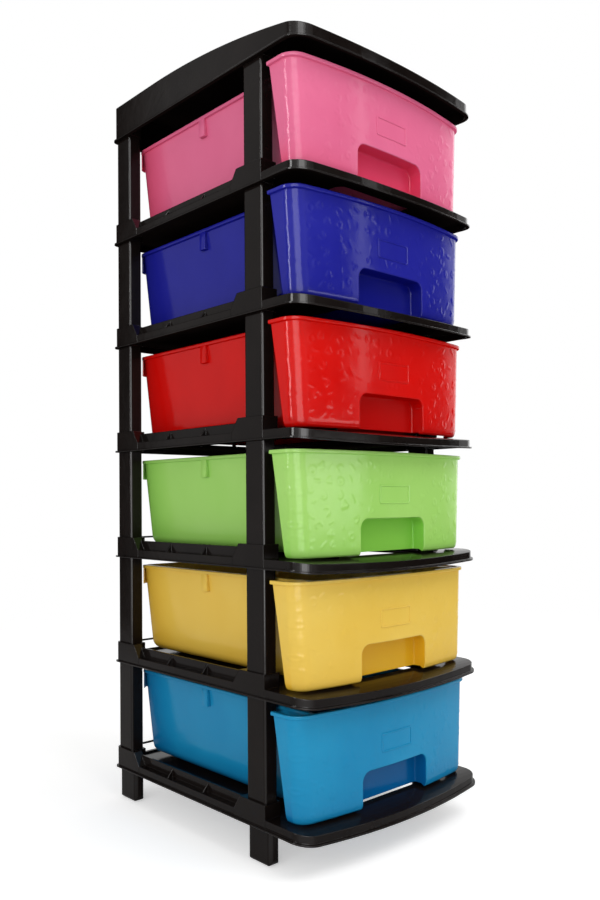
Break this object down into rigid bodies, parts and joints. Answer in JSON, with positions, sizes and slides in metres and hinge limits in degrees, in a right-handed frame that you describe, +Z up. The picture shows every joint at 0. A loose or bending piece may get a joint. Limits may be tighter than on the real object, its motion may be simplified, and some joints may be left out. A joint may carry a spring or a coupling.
{
  "type": "plastic drawer tower",
  "caption": "Narrow free-standing tower of bow-fronted tub drawers in bright colours, each sliding on a black shelf, with hollow corner posts, feet and an arched cover.",
  "frame": {"origin": "on the floor, at the middle of the tower's width and depth", "axes": "+X across the front to the right as seen from the front, -Y the way the drawers open, +Z up"},
  "size_m": [0.328, 0.414, 0.9925],
  "materials": {
    "black_plastic": "glossy black, smooth moulded",
    "azure_plastic": "glossy, slightly translucent azure",
    "yellow_plastic": "glossy, slightly translucent golden yellow",
    "green_plastic": "glossy, slightly translucent light green",
    "red_plastic": "glossy, slightly translucent red",
    "blue_plastic": "glossy, slightly translucent dark blue",
    "pink_plastic": "glossy, slightly translucent pink"
  },
  "bodies": {
    "tower": {"top_cover": "black_plastic", "shelf_1": "black_plastic", "shelf_2": "black_plastic", "shelf_3": "black_plastic", "shelf_4": "black_plastic", "shelf_5": "black_plastic", "shelf_6": "black_plastic", "foot_front_left": "black_plastic", "foot_front_right": "black_plastic", "foot_back_left": "black_plastic", "foot_back_right": "black_plastic", "post_front_left_1": "black_plastic", "post_front_right_1": "black_plastic", "post_back_left_1": "black_plastic", "post_back_right_1": "black_plastic", "post_front_left_2": "black_plastic", "post_front_right_2": "black_plastic", "post_back_left_2": "black_plastic", "post_back_right_2": "black_plastic", "post_front_left_3": "black_plastic", "post_front_right_3": "black_plastic", "post_back_left_3": "black_plastic", "post_back_right_3": "black_plastic", "post_front_left_4": "black_plastic", "post_front_right_4": "black_plastic", "post_back_left_4": "black_plastic", "post_back_right_4": "black_plastic", "post_front_left_5": "black_plastic", "post_front_right_5": "black_plastic", "post_back_left_5": "black_plastic", "post_back_right_5": "black_plastic", "post_front_left_6": "black_plastic", "post_front_right_6": "black_plastic", "post_back_left_6": "black_plastic", "post_back_right_6": "black_plastic"},
    "drawer_1": {"drawer_1": "azure_plastic"},
    "drawer_2": {"drawer_2": "yellow_plastic"},
    "drawer_3": {"drawer_3": "green_plastic"},
    "drawer_4": {"drawer_4": "red_plastic"},
    "drawer_5": {"drawer_5": "blue_plastic"},
    "drawer_6": {"drawer_6": "pink_plastic"}
  },
  "joints": [
    {"name": "drawer_1_slide", "type": "slide", "parent": "tower", "child": "drawer_1", "axis": [0, -1, 0], "range_m": [0, 0.26]},
    {"name": "drawer_2_slide", "type": "slide", "parent": "tower", "child": "drawer_2", "axis": [0, -1, 0], "range_m": [0, 0.26]},
    {"name": "drawer_3_slide", "type": "slide", "parent": "tower", "child": "drawer_3", "axis": [0, -1, 0], "range_m": [0, 0.26]},
    {"name": "drawer_4_slide", "type": "slide", "parent": "tower", "child": "drawer_4", "axis": [0, -1, 0], "range_m": [0, 0.26]},
    {"name": "drawer_5_slide", "type": "slide", "parent": "tower", "child": "drawer_5", "axis": [0, -1, 0], "range_m": [0, 0.26]},
    {"name": "drawer_6_slide", "type": "slide", "parent": "tower", "child": "drawer_6", "axis": [0, -1, 0], "range_m": [0, 0.26]}
  ]
}
